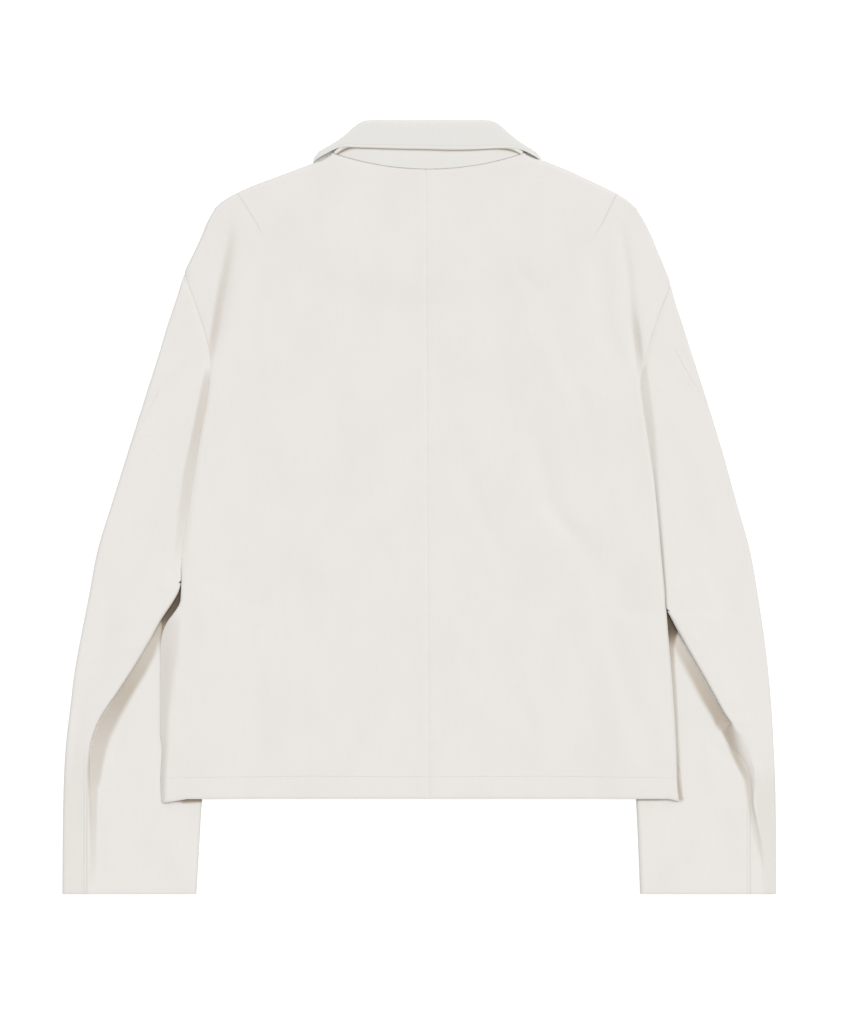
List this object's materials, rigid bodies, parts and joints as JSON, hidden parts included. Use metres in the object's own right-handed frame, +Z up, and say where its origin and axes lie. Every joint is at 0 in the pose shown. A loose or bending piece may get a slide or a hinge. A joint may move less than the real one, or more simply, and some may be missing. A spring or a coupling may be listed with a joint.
{
  "type": "jacket laid flat",
  "caption": "Off-white boxy cotton jacket with a turned-down collar and two-piece sleeves, laid flat on its front with its back up",
  "frame": {"origin": "centre of the bounding box's underside, on the surface that the jacket lies on", "axes": "+Z up, out of the back of the jacket; +Y towards the collar; +X towards the wearer's right sleeve, which is on the picture's right"},
  "size_m": [0.7132, 0.7724, 0.0135],
  "materials": {
    "body_cloth": "matt off-white cotton twill",
    "sleeve_cloth": "matt off-white cotton twill",
    "collar_cloth": "matt off-white cotton twill, two plies"
  },
  "bodies": {
    "root": {"back_left": "body_cloth", "back_right": "body_cloth", "front_left": "body_cloth", "front_right": "body_cloth", "topsleeve_left": "sleeve_cloth", "topsleeve_right": "sleeve_cloth", "undersleeve_left": "sleeve_cloth", "undersleeve_right": "sleeve_cloth", "collar": "collar_cloth"}
  },
  "joints": []
}
